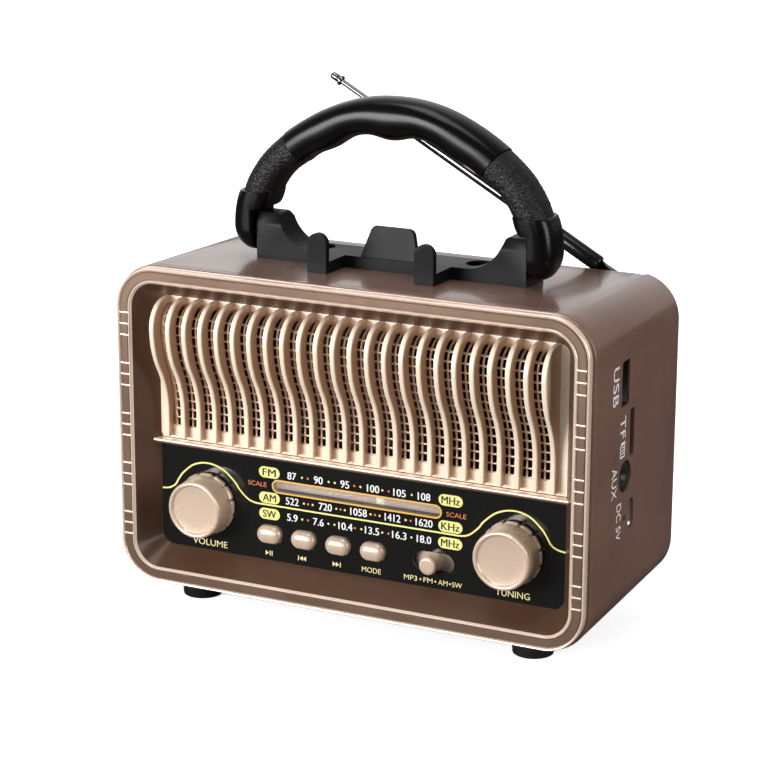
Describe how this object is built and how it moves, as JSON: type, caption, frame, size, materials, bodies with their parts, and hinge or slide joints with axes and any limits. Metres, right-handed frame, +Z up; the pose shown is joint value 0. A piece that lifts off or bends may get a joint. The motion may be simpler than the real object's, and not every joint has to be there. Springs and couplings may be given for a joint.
{
  "type": "portable radio",
  "caption": "Retro portable radio with a finned grille, black dial with knobs and push buttons, folding handle, phone rest and telescopic antenna.",
  "frame": {"origin": "on the table under the middle of the whole object's box, at the underside of the feet", "axes": "+X to the right seen from the front, +Y from the front grille to the back cover, +Z up"},
  "size_m": [0.1518, 0.0734, 0.1534],
  "materials": {
    "cabinet_finish": "dark walnut-look film, satin gloss",
    "bezel_bronze": "bronze metallic paint, satin",
    "grille_gold": "pale rose-gold metallic paint",
    "control_gold": "pale rose-gold plating, satin",
    "dial_black": "gloss black with printed scales",
    "black_plastic": "satin black",
    "back_black": "fine textured black",
    "grip_black": "smooth black",
    "leather_look": "black leather-grain sleeve",
    "foot_rubber": "matt",
    "window_clear": "clear",
    "backing_taupe": "matt taupe card",
    "pointer_light": "pale",
    "chrome": "polished",
    "steel": "zinc plated",
    "board_green": "printed circuit board",
    "component_dark": "moulded",
    "cord_fibre": "waxed thread",
    "cone_paper": "pressed paper",
    "ferrite": "matt",
    "coil_copper": "enamelled wire",
    "cell_wrap": "shrink wrap",
    "white_plastic": "matt",
    "led_lens": "translucent red"
  },
  "bodies": {
    "casing": {"cabinet": "cabinet_finish", "front_bezel": "bezel_bronze", "back_cover": "back_black", "back_screws": "steel", "feet": "foot_rubber", "grille": "grille_gold", "speaker_mesh": "grille_gold", "divider_rail": "grille_gold", "dial_plate": "dial_black", "dial_window": "window_clear", "dial_backing": "backing_taupe", "pointer_rail": "steel", "cord_posts": "white_plastic", "dial_cord": "cord_fibre", "tuning_control": "component_dark", "volume_control": "component_dark", "tact_switches": "component_dark", "band_switch": "steel", "control_board": "board_green", "board_components": "component_dark", "socket_board": "board_green", "usb_socket": "black_plastic", "card_socket": "black_plastic", "aux_jack": "component_dark", "charge_socket": "steel", "charge_led": "led_lens", "speaker_frame": "steel", "speaker_magnet": "ferrite", "ferrite_rod": "ferrite", "ferrite_coil": "coil_copper", "battery_holder": "black_plastic", "battery_cell": "cell_wrap", "battery_contacts": "steel", "holder_tray": "black_plastic", "tray_screws": "steel", "pivot_pins": "steel"},
    "door": {"battery_door": "back_black"},
    "tuning": {"tuning_knob": "control_gold", "tuning_shaft": "steel", "tuning_drum": "white_plastic"},
    "volume": {"volume_knob": "control_gold", "volume_shaft": "steel"},
    "pointer": {"dial_pointer": "pointer_light"},
    "play": {"play_button": "control_gold"},
    "previous": {"previous_button": "control_gold"},
    "next": {"next_button": "control_gold"},
    "mode": {"mode_button": "control_gold"},
    "band": {"band_slider": "control_gold"},
    "cone": {"speaker_cone": "cone_paper"},
    "handle": {"handle_grip": "grip_black", "handle_sleeves": "leather_look", "handle_end_caps": "grip_black"},
    "antenna_turret": {"antenna_swivel": "chrome", "antenna_pin": "chrome"},
    "antenna_lower": {"antenna_base": "chrome", "antenna_sleeve": "grip_black", "antenna_outer_tube": "chrome"},
    "antenna_middle": {"antenna_inner_tube": "chrome"},
    "antenna_upper": {"antenna_rod": "chrome"}
  },
  "joints": [
    {"name": "door_lift", "type": "slide", "parent": "casing", "child": "door", "axis": [0, 1, 0], "range_m": [0, 0.02]},
    {"name": "tuning_turn", "type": "hinge", "parent": "casing", "child": "tuning", "pos_m": [0.0497, -0.02655, 0.0308], "axis": [0, 1, 0], "range_deg": [-192.9, 112.68]},
    {"name": "volume_turn", "type": "hinge", "parent": "casing", "child": "volume", "pos_m": [-0.0497, -0.02655, 0.0308], "axis": [0, 1, 0], "range_deg": [-150, 150]},
    {"name": "pointer_slide", "type": "slide", "parent": "casing", "child": "pointer", "axis": [1, 0, 0], "range_m": [-0.0305, 0.018]},
    {"name": "play_press", "type": "slide", "parent": "casing", "child": "play", "axis": [0, 1, 0], "range_m": [0, 0.0008], "stiffness_N_per_m": 900},
    {"name": "previous_press", "type": "slide", "parent": "casing", "child": "previous", "axis": [0, 1, 0], "range_m": [0, 0.0008], "stiffness_N_per_m": 900},
    {"name": "next_press", "type": "slide", "parent": "casing", "child": "next", "axis": [0, 1, 0], "range_m": [0, 0.0008], "stiffness_N_per_m": 900},
    {"name": "mode_press", "type": "slide", "parent": "casing", "child": "mode", "axis": [0, 1, 0], "range_m": [0, 0.0008], "stiffness_N_per_m": 900},
    {"name": "band_slide", "type": "slide", "parent": "casing", "child": "band", "axis": [1, 0, 0], "range_m": [-0.0035, 0.0035]},
    {"name": "cone_travel", "type": "slide", "parent": "casing", "child": "cone", "axis": [0, 1, 0], "range_m": [-0.0006, 0.0006], "stiffness_N_per_m": 1200},
    {"name": "handle_fold", "type": "hinge", "parent": "casing", "child": "handle", "pos_m": [0, -0.00135, 0.1118], "axis": [1, 0, 0], "range_deg": [-35, 90]},
    {"name": "antenna_swivel_turn", "type": "hinge", "parent": "casing", "child": "antenna_turret", "pos_m": [0.0616, 0.03425, 0.0953], "axis": [0, 1, 0], "range_deg": [-29.5, 60.5]},
    {"name": "antenna_tilt", "type": "hinge", "parent": "antenna_turret", "child": "antenna_lower", "pos_m": [0.0616, 0.03425, 0.0953], "axis": [-0.4924, 0, -0.8704], "range_deg": [0, 90]},
    {"name": "antenna_middle_slide", "type": "slide", "parent": "antenna_lower", "child": "antenna_middle", "axis": [-0.8704, 0, 0.4924], "range_m": [0, 0.062]},
    {"name": "antenna_upper_slide", "type": "slide", "parent": "antenna_middle", "child": "antenna_upper", "axis": [-0.8704, 0, 0.4924], "range_m": [0, 0.06]}
  ],
  "couplings": [
    {"joint": "pointer_slide", "follows": "tuning_turn", "m_per_rad": 0.009}
  ]
}
